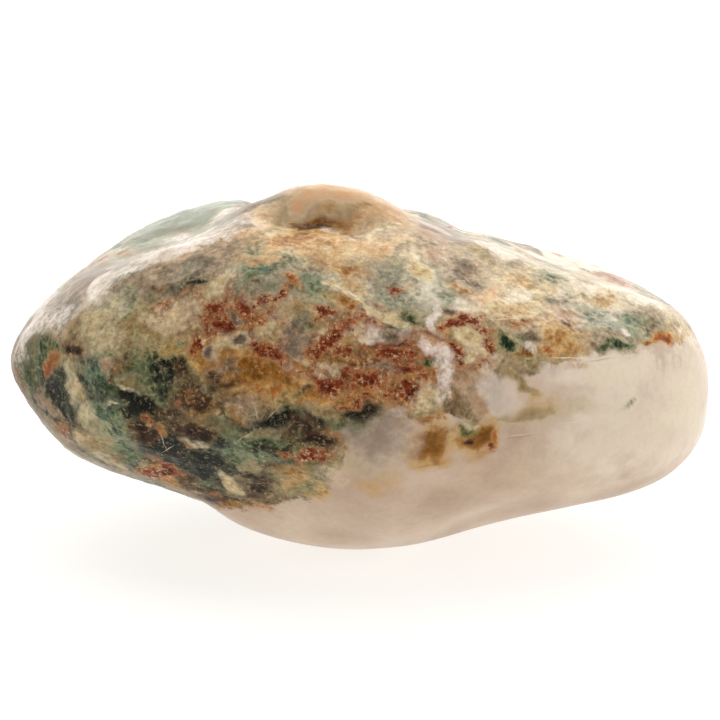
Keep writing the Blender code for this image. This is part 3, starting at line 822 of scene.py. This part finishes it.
for name, size, deep in RIND_LUMPS:
    texture = bpy.data.textures.new(name, "CLOUDS")
    texture.noise_scale = size * MM
    texture.noise_depth = 2
    lumps = stone.modifiers.new(name, "DISPLACE")
    lumps.texture = texture
    lumps.texture_coords = "LOCAL"
    lumps.vertex_group = "rind"
    lumps.strength = deep * MM
    lumps.mid_level = 1.0
    bpy.ops.object.modifier_apply(modifier=name)
relief = np.array([vertex.co for vertex in stone.data.vertices]) - points
print("deepest relief, mm:", (np.linalg.norm(relief, axis=1).max() / MM).round(2))

# %% [markdown]
# ## The stone's material
# One Principled shader carries the whole stone. Each mineral has three tones, because a stain is
# zoned: its pale rim where it thins out, its own colour, and its dense dark heart, in that order.

# %% Colours of the minerals
def colour(red, green, blue):
    """A colour given as it shows on a screen, from 0 to 255, turned into the light it reflects."""
    screen = np.array((red, green, blue)) / 255
    light = np.where(screen <= 0.04045, screen / 12.92, ((screen + 0.055) / 1.055) ** 2.4)
    return (*light.tolist(), 1.0)


CORE_DEEP = colour(181, 156, 135)
CORE_PALE = colour(210, 189, 168)
RIND_DEEP = colour(64, 48, 30)
RIND_PALE = colour(154, 126, 90)
MINERAL_TONES = {
    # pale and lilac also paint highlights and sheen, and olive, brown, mauve, green and smoke some shade,
    # where the tables say so
    "pale": ((236, 224, 205), (230, 216, 195), (222, 207, 183)),
    "khaki": ((188, 170, 130), (159, 136, 93), (122, 97, 58)),
    "gold": ((222, 203, 166), (203, 176, 135), (176, 142, 98)),
    "peach": ((231, 200, 159), (215, 178, 138), (194, 149, 105)),
    "ochre": ((196, 152, 89), (164, 110, 41), (121, 73, 16)),
    "olive": ((182, 144, 82), (146, 98, 32), (108, 64, 12)),
    "mauve": ((176, 154, 132), (132, 114, 92), (92, 76, 58)),
    "smoke": ((206, 180, 152), (184, 152, 122), (160, 128, 98)),
    "sage": ((162, 160, 135), (122, 125, 101), (80, 87, 68)),
    "teal": ((130, 142, 116), (74, 100, 80), (34, 60, 50)),
    "green": ((128, 134, 94), (66, 84, 48), (22, 38, 18)),
    "dark": ((92, 94, 70), (38, 40, 30), (12, 13, 9)),
    "brown": ((120, 90, 62), (74, 48, 30), (34, 20, 12)),
    "rust": ((177, 122, 80), (135, 59, 30), (70, 19, 8)),
    "halo": ((154, 114, 76), (121, 69, 38), (90, 42, 20)),
    "orange": ((192, 146, 91), (170, 101, 47), (130, 65, 24)),
    "lilac": ((230, 217, 203), (230, 214, 200), (217, 200, 185)),
    "cream": ((223, 207, 170), (213, 190, 147), (192, 164, 120)),
    "haze": ((184, 164, 146), (168, 148, 130), (152, 132, 114)),
    "pearl": ((212, 194, 178), (204, 186, 170), (196, 178, 162)),
    "slate": ((165, 146, 121), (131, 113, 94), (102, 84, 69)),
}
print("minerals:", len(MINERAL_TONES))

# %% [markdown]
# A material is a graph of nodes. Small helpers make the nodes and join them, so that the recipe
# further down reads like one. The first ones make noise. Places come from Object coordinates, which
# fill the stone's whole inside, so a pattern runs round it without seams, as it does in real rock.

# %% Helpers for noise
material = bpy.data.materials.new("polished_jadeite")
material.use_nodes = True
nodes = material.node_tree.nodes
links = material.node_tree.links
shader = nodes["Principled BSDF"]
PLACES = nodes.new("ShaderNodeTexCoord").outputs["Object"]
MID_NOISE = 0.5


def feed(value, socket):
    """Gives a socket its value, which is fixed or the outcome of other nodes."""
    if isinstance(value, bpy.types.NodeSocket):
        links.new(value, socket)
    else:
        socket.default_value = value


def vector_sum(operation, first, second):
    """Joins two directions or places. Each may be fixed or the outcome of other nodes."""
    join = nodes.new("ShaderNodeVectorMath")
    join.operation = operation
    feed(first, join.inputs[0])
    feed(second, join.inputs[1])
    return join.outputs["Vector"]


def even_out(value, low, high):
    """Stretches values from between two limits to the full run from 0 to 1."""
    stretch = nodes.new("ShaderNodeMapRange")
    stretch.inputs["From Min"].default_value = low
    stretch.inputs["From Max"].default_value = high
    links.new(value, stretch.inputs["Value"])
    return stretch.outputs["Result"]


def noise_nodes(size, detail, roughness, seed):
    """Noise with lumps of a size in millimetres. Each seed reads another place of it."""
    pattern = nodes.new("ShaderNodeTexNoise")
    pattern.inputs["Scale"].default_value = 1 / (size * MM)
    pattern.inputs["Detail"].default_value = detail
    pattern.inputs["Roughness"].default_value = roughness
    links.new(vector_sum("ADD", PLACES, (seed, 2 * seed, -seed)), pattern.inputs["Vector"])
    return pattern


def bent_places(size, reach, seed):
    """Places pushed about by noise, so that patterns laid on them wander. Both lengths are in mm."""
    push = noise_nodes(size, 1.0, 0.5, seed)
    centred = vector_sum("SUBTRACT", push.outputs["Color"], (MID_NOISE,) * 3)
    return vector_sum("ADD", PLACES, vector_sum("MULTIPLY", centred, (reach * MM,) * 3))


def fine_noise(size, detail, roughness, seed, spread=0.2):
    """Grainy noise, spread to run from 0 to 1."""
    pattern = noise_nodes(size, detail, roughness, seed)
    return even_out(pattern.outputs["Fac"], MID_NOISE - spread, MID_NOISE + spread)


def seams(places, size, width):
    """Thin seams between clumps of a size in millimetres: 1 in a seam and 0 inside a clump."""
    cells = nodes.new("ShaderNodeTexVoronoi")
    cells.feature = "DISTANCE_TO_EDGE"
    cells.inputs["Scale"].default_value = 1 / (size * MM)
    links.new(places, cells.inputs["Vector"])
    return even_out(cells.outputs["Distance"], width, 0.0)


# %% [markdown]
# The next helpers do sums, read a cover, and lay one colour over another. A Mix node has sockets for
# numbers, vectors and colours under the same names, so those for colours are told by their number.

# %% Helpers for sums and colours
MIX_SHARE = 0
MIX_UNDER = 6
MIX_OVER = 7
MIX_COLOUR = 2
RIM_AT = 0.0
BODY_AT = 0.16
HEART_AT = 0.60


def sum_up(*terms):
    """Adds values, each with its own weight."""
    total = 0.0
    for value, weight in terms:
        add = nodes.new("ShaderNodeMath")
        add.operation = "MULTIPLY_ADD"
        add.inputs[1].default_value = weight
        links.new(value, add.inputs[0])
        feed(total, add.inputs[2])
        total = add.outputs["Value"]
    return total


def times(first, second):
    """Multiplies two values."""
    product = nodes.new("ShaderNodeMath")
    product.operation = "MULTIPLY"
    links.new(first, product.inputs[0])
    links.new(second, product.inputs[1])
    return product.outputs["Value"]


def layer_of(name):
    """A cover laid out on the mesh."""
    layer = nodes.new("ShaderNodeAttribute")
    layer.attribute_name = name
    return layer.outputs["Fac"]


def blend_colours(share, under, over, kind="MIX"):
    """Lays one colour over another. Each may be a colour or the outcome of other nodes."""
    mix = nodes.new("ShaderNodeMix")
    mix.data_type = "RGBA"
    mix.blend_type = kind
    feed(share, mix.inputs[MIX_SHARE])
    feed(under, mix.inputs[MIX_UNDER])
    feed(over, mix.inputs[MIX_OVER])
    return mix.outputs[MIX_COLOUR]


def zoned_colour(margin, tones):
    """The colour of a mineral, from its rim, where it barely shows, to its dense heart."""
    rim, body, heart = tones
    zones = nodes.new("ShaderNodeValToRGB")
    stops = zones.color_ramp.elements
    stops[0].position = RIM_AT
    stops[0].color = colour(*rim)
    stops[1].position = HEART_AT
    stops[1].color = colour(*heart)
    stops.new(BODY_AT).color = colour(*body)
    links.new(margin, zones.inputs["Fac"])
    return zones.outputs["Color"]


# %% [markdown]
# ## Grain
# Grain decides where a half-covered place shows its mineral and where it doesn't. It is a mix of
# clumps about a millimetre across, of the seams between smaller clumps, and for rust of finer lace.
# The four mixes are shared out among the minerals, so that neighbours lie between each other and not
# in the same spots. Where the stone is worn, a calm noise takes over most of each mix.

# %% Grain
CALMED = 0.75

bent = bent_places(size=1.1, reach=0.35, seed=0.9)
clumps_a = fine_noise(1.2, detail=4.0, roughness=0.66, seed=0.1)
clumps_b = fine_noise(0.9, detail=4.0, roughness=0.68, seed=0.2)
clumps_c = fine_noise(0.7, detail=4.0, roughness=0.70, seed=0.3)
lace = fine_noise(0.26, detail=3.0, roughness=0.75, seed=0.6, spread=0.16)
calm = fine_noise(1.5, detail=2.0, roughness=0.5, seed=0.7, spread=0.36)
seams_a = seams(bent, size=0.60, width=0.20)
seams_b = seams(bent, size=0.90, width=0.16)

MIXES = (
    sum_up((clumps_a, 0.62), (clumps_c, 0.20), (seams_a, 0.18)),
    sum_up((clumps_b, 0.66), (clumps_a, 0.16), (seams_b, 0.18)),
    sum_up((clumps_c, 0.72), (seams_a, 0.28)),
    sum_up((lace, 0.44), (clumps_c, 0.38), (seams_a, 0.18)),
)
worn = even_out(layer_of("worn"), 0.0, 1.0)
GRAINS = tuple(blend_colours(sum_up((worn, CALMED)), mix, calm) for mix in MIXES)
print("mixes of grain:", len(GRAINS))

# %% [markdown]
# ## Base colour
# The core is a cloudy cream, and the rind a mottled tan. The minerals follow, each over those named
# before it: first the soft ground, then the details. Rust has a brown halo under it, as iron stains
# have. Each layer below names its cover, the number of its grain, and how softly it ends. The margin
# by which a cover beats the grain gives both the share and the tone.

# %% Layers of mineral
SOFT_RIND = 0.28
SURE = BARE + 0.3 * SPREAD
LAYERS = (
    ("khaki_ground", 1, 0.60), ("gold_ground", 2, 0.60), ("mauve_ground", 0, 0.60),
    ("sage_ground", 1, 0.60), ("ochre_ground", 0, 0.60), ("olive_ground", 1, 0.50),
    ("rust_ground", 2, 0.38), ("brown_ground", 1, 0.38), ("green_ground", 2, 0.36),
    ("teal_ground", 1, 0.36), ("dark_ground", 0, 0.36),
    ("pale", 0, 0.60), ("khaki", 1, 0.50), ("gold", 2, 0.50), ("peach", 1, 0.55),
    ("ochre", 0, 0.50), ("olive", 1, 0.50), ("mauve", 0, 0.50), ("sage", 2, 0.55),
    ("smoke", 1, 0.45), ("teal", 1, 0.50), ("green", 2, 0.50), ("dark", 0, 0.50),
    ("brown", 1, 0.50), ("halo", 1, 0.55), ("rust", 3, 0.30), ("orange", 0, 0.45),
    ("lilac", 2, 0.42), ("haze", 0, 0.50), ("pearl", 1, 0.35), ("cream", 0, 0.40), ("slate", 1, 0.35),
)

clouds = fine_noise(5.0, detail=2.0, roughness=0.5, seed=0.4)
core_colour = blend_colours(clouds, CORE_DEEP, CORE_PALE)
rind_colour = blend_colours(GRAINS[0], RIND_DEEP, RIND_PALE)
here_rind = even_out(sum_up((layer_of("rind"), 1.0), (GRAINS[1], -1.0)), BARE, SOFT_RIND)
surface = blend_colours(here_rind, core_colour, rind_colour)

for name, number, softness in LAYERS:
    layer = layer_of(name)
    margin = sum_up((layer, 1.0), (GRAINS[number], -1.0))
    share = times(even_out(margin, -softness, softness), even_out(layer, BARE, SURE))
    tones = MINERAL_TONES[name.removesuffix("_ground")]
    surface = blend_colours(share, surface, zoned_colour(margin, tones))
print("layers of mineral:", len(LAYERS))

# %% [markdown]
# Single crystals sit pale or dark between the others. They are about a quarter of a millimetre
# across, too small to place one by one, so a fine noise scatters them. Rust gets both kinds, and the
# rest of the rind only pale ones, where it isn't worn.

# %% Specks
PALE_SPECKS = 0.26
RUST_SPECKS = 0.50
PALE_BETWEEN = (0.60, 0.86)
DARK_BETWEEN = (0.36, 0.14)
RUSTY = 0.5
RUST_SPECK_DARK = colour(72, 34, 20)
RUST_SPECK_PALE = colour(212, 184, 140)
RIND_SPECK_PALE = colour(214, 194, 152)

speck_noise = fine_noise(0.26, detail=2.0, roughness=0.75, seed=0.8)
specks = sum_up((speck_noise, 0.7), (clumps_b, 0.3))
pale_specks = even_out(specks, *PALE_BETWEEN)
dark_specks = even_out(specks, *DARK_BETWEEN)
on_rust = even_out(layer_of("halo"), 0.0, RUSTY)
unworn = even_out(worn, 1.0, 0.0)
on_rind = times(times(pale_specks, here_rind), unworn)
for share, strength, tone in (
    (times(dark_specks, on_rust), RUST_SPECKS, RUST_SPECK_DARK),
    (times(pale_specks, on_rust), RUST_SPECKS, RUST_SPECK_PALE),
    (on_rind, PALE_SPECKS, RIND_SPECK_PALE),
):
    surface = blend_colours(sum_up((share, strength)), surface, tone)
print("nodes so far:", len(nodes))

# %% [markdown]
# ## Hairlines
# Fine healed cracks cross the grain. They are thinner than the mesh's faces, so the material draws
# them. Each is a long thin oval in the same six numbers. A Mapping node lays it along the surface,
# with a gradient that is full on its middle line and fades to its sides. The last two dark lines are
# painted shade along the lower edge of the groove under the dome.

# %% Hairlines
PALE_HAIRLINES = (
    (163, 442, 0.9, 0.05, -67, 0.5), (168, 449, 0.6, 0.05, 28, 0.6), (256, 413, 0.7, 0.05, -75, 0.5),
    (274, 412, 0.9, 0.05, 45, 0.5), (243, 438, 1.1, 0.05, 32, 0.5), (206, 340, 0.8, 0.05, 25, 0.4),
    (568, 358, 1.6, 0.08, 0, 0.9), (604, 357, 0.8, 0.05, 8, 0.5), (504, 319, 1.2, 0.05, 2, 0.5),
    (518, 435, 1.2, 0.04, 8, 0.5), (570, 423, 1, 0.04, 6, 0.5), (338, 287, 0.9, 0.09, -30, 0.8),
    (356, 297, 0.9, 0.09, -38, 0.8),
)
DARK_HAIRLINES = (
    (302, 372, 1.3, 0.06, 4, 0.6), (262, 409, 0.9, 0.05, 48, 0.5), (520, 437, 1.2, 0.04, 8, 0.3),
    (536, 299, 1, 0.06, 14, 0.5), (568, 322, 0.6, 0.07, -52, 0.6), (600, 360, 1.2, 0.06, 6, 0.4),
    # these last two dark lines are painted shade at the groove's lower edge
    (322, 228, 1.6, 0.06, 3, 0.7), (290, 228, 0.6, 0.06, 0, 0.4),
)
HAIRLINE_DEPTH = 2.0
PALE_LINE = colour(236, 220, 190)
DARK_LINE = colour(60, 36, 20)
wavy = bent_places(size=0.8, reach=0.22, seed=0.7)


def line_share(line):
    """How much of one hairline lies at each place."""
    px, py, half_long, half_short, turn, strength = line
    along, across = turned(turn)
    facing = Matrix((along, across, np.cross(along, across))).transposed()
    laid = nodes.new("ShaderNodeMapping")
    laid.vector_type = "TEXTURE"
    laid.inputs["Location"].default_value = spot(px, py)
    laid.inputs["Rotation"].default_value = facing.to_euler()
    laid.inputs["Scale"].default_value = np.array((half_long, half_short, HAIRLINE_DEPTH)) * MM
    links.new(wavy, laid.inputs["Vector"])
    profile = nodes.new("ShaderNodeTexGradient")
    profile.gradient_type = "SPHERICAL"
    links.new(laid.outputs["Vector"], profile.inputs["Vector"])
    return sum_up((profile.outputs["Fac"], strength))


def hairlines(lines):
    """How much of a set of hairlines lies at each place. The strongest counts."""
    total = line_share(lines[0])
    for line in lines[1:]:
        most = nodes.new("ShaderNodeMath")
        most.operation = "MAXIMUM"
        links.new(total, most.inputs[0])
        links.new(line_share(line), most.inputs[1])
        total = most.outputs["Value"]
    return even_out(total, 0.0, 1.0)


surface = blend_colours(hairlines(DARK_HAIRLINES), surface, DARK_LINE)
surface = blend_colours(hairlines(PALE_HAIRLINES), surface, PALE_LINE)
print("hairlines:", len(DARK_HAIRLINES) + len(PALE_HAIRLINES))

# %% [markdown]
# ## Crystals and polish
# Last, the crystals themselves differ a little in lightness. The core and the worn places stay more
# even. The same noise gives a faint bump. The polish is soft, and the grain changes how sharp it is.
# A little light enters the stone and comes out beside, which a weak subsurface imitates.

# %% Crystal lightness, roughness and bump
RIND_GRIT = 0.42
CORE_GRIT = 0.06
UNWORN_GRIT = 0.9
BLACK = (0.0, 0.0, 0.0, 1.0)
WHITE = (1.0, 1.0, 1.0, 1.0)
SHARPEST = 0.24
DULLEST = 0.42
BUMP_HEIGHT = 0.05 * MM
BUMP_STRENGTH = 0.35


def run_between(value, low, high):
    """Turns values from 0 to 1 into values between two limits."""
    spread = nodes.new("ShaderNodeMapRange")
    spread.inputs["To Min"].default_value = low
    spread.inputs["To Max"].default_value = high
    links.new(value, spread.inputs["Value"])
    return spread.outputs["Result"]


grit = fine_noise(0.40, detail=2.0, roughness=0.7, seed=0.5, spread=0.22)
grit_share = run_between(times(here_rind, sum_up((unworn, UNWORN_GRIT))), CORE_GRIT, RIND_GRIT)
surface = blend_colours(grit_share, surface, blend_colours(grit, BLACK, WHITE), "OVERLAY")
links.new(surface, shader.inputs["Base Color"])
links.new(run_between(GRAINS[2], SHARPEST, DULLEST), shader.inputs["Roughness"])

bump = nodes.new("ShaderNodeBump")
bump.inputs["Distance"].default_value = BUMP_HEIGHT
bump.inputs["Strength"].default_value = BUMP_STRENGTH
links.new(sum_up((clumps_c, 0.6), (grit, 0.3)), bump.inputs["Height"])
links.new(bump.outputs["Normal"], shader.inputs["Normal"])

for socket, value in (
    ("IOR", 1.50),
    ("Specular IOR Level", 0.09),
    ("Subsurface Weight", 0.15),
    ("Subsurface Radius", (1.0, 0.8, 0.6)),
    ("Subsurface Scale", 0.8 * MM),
):
    shader.inputs[socket].default_value = value

stone.data.materials.clear()
stone.data.materials.append(material)
print("nodes in the material:", len(nodes))

# %% [markdown]
# ## Floor
# The stone lies on white paper that fades into the backdrop. A plain white floor would turn grey
# away from the lights, so this one is grey and glows a little, which keeps it even and still lets it
# take the stone's shadow.

# %% Floor
FLOOR_SIZE = 3.0
FLOOR_GREY = (0.30, 0.30, 0.30, 1.0)
FLOOR_GLOW = (1.0, 0.98, 0.94, 1.0)
FLOOR_GLOW_STRENGTH = 0.80

bpy.ops.mesh.primitive_plane_add(size=FLOOR_SIZE, location=(0.0, 0.0, 0.0))
floor = bpy.context.object
floor.name = "floor"
paper = bpy.data.materials.new("white_paper")
paper.use_nodes = True
paper_shader = paper.node_tree.nodes["Principled BSDF"]
paper_shader.inputs["Base Color"].default_value = FLOOR_GREY
paper_shader.inputs["Roughness"].default_value = 0.9
paper_shader.inputs["Specular IOR Level"].default_value = 0.1
paper_shader.inputs["Emission Color"].default_value = FLOOR_GLOW
paper_shader.inputs["Emission Strength"].default_value = FLOOR_GLOW_STRENGTH
floor.data.materials.append(paper)
print("floor, m:", FLOOR_SIZE)

# %% [markdown]
# ## Light
# A big soft light overhead and a glow from behind give the pale sheen along the top and the far
# shoulder. A weak light from the right lifts the core. The rest is even light from all round.

# %% Lights
def softbox(name, place, size, power):
    """A rectangular soft light aimed at the stone. Its place and size are in metres."""
    aim = (Vector(VIEW_CENTRE) - Vector(place)).to_track_quat("-Z", "Y")
    bpy.ops.object.light_add(type="AREA", location=place, rotation=aim.to_euler())
    lamp = bpy.context.object
    lamp.name = name
    lamp.data.shape = "RECTANGLE"
    lamp.data.size = size[0]
    lamp.data.size_y = size[1]
    lamp.data.energy = power
    lamp.visible_camera = False
    print(name + ", W:", power)


softbox("overhead_softbox", place=(0.05, 0.10, 0.50), size=(0.7, 0.5), power=2.2)
softbox("backdrop_glow", place=(0.0, 0.60, 0.25), size=(1.4, 0.6), power=6.0)
softbox("right_softbox", place=(0.45, -0.10, 0.22), size=(0.4, 0.3), power=0.6)

# %% [markdown]
# The world around is white. The camera sees it at full strength, as the backdrop, and the stone gets
# less than half of that, so that its colours don't wash out. A Light Path node tells the two apart.

# %% Backdrop
ROOM_LIGHT = 0.44
SEEN_LIGHT = 1.05

world = bpy.data.worlds.new("studio")
bpy.context.scene.world = world
world.use_nodes = True
world_nodes = world.node_tree.nodes
world_links = world.node_tree.links
sky = world_nodes["Background"]
sky.inputs["Color"].default_value = WHITE
seen = world_nodes.new("ShaderNodeLightPath")
brightness = world_nodes.new("ShaderNodeMapRange")
brightness.inputs["To Min"].default_value = ROOM_LIGHT
brightness.inputs["To Max"].default_value = SEEN_LIGHT
world_links.new(seen.outputs["Is Camera Ray"], brightness.inputs["Value"])
world_links.new(brightness.outputs["Result"], sky.inputs["Strength"])

bpy.context.scene.view_settings.view_transform = "Standard"
bpy.context.scene.view_settings.look = "None"
print("room light:", ROOM_LIGHT, "backdrop:", SEEN_LIGHT)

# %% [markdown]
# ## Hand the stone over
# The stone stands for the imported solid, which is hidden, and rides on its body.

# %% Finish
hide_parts("pebble")
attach(stone, "root")
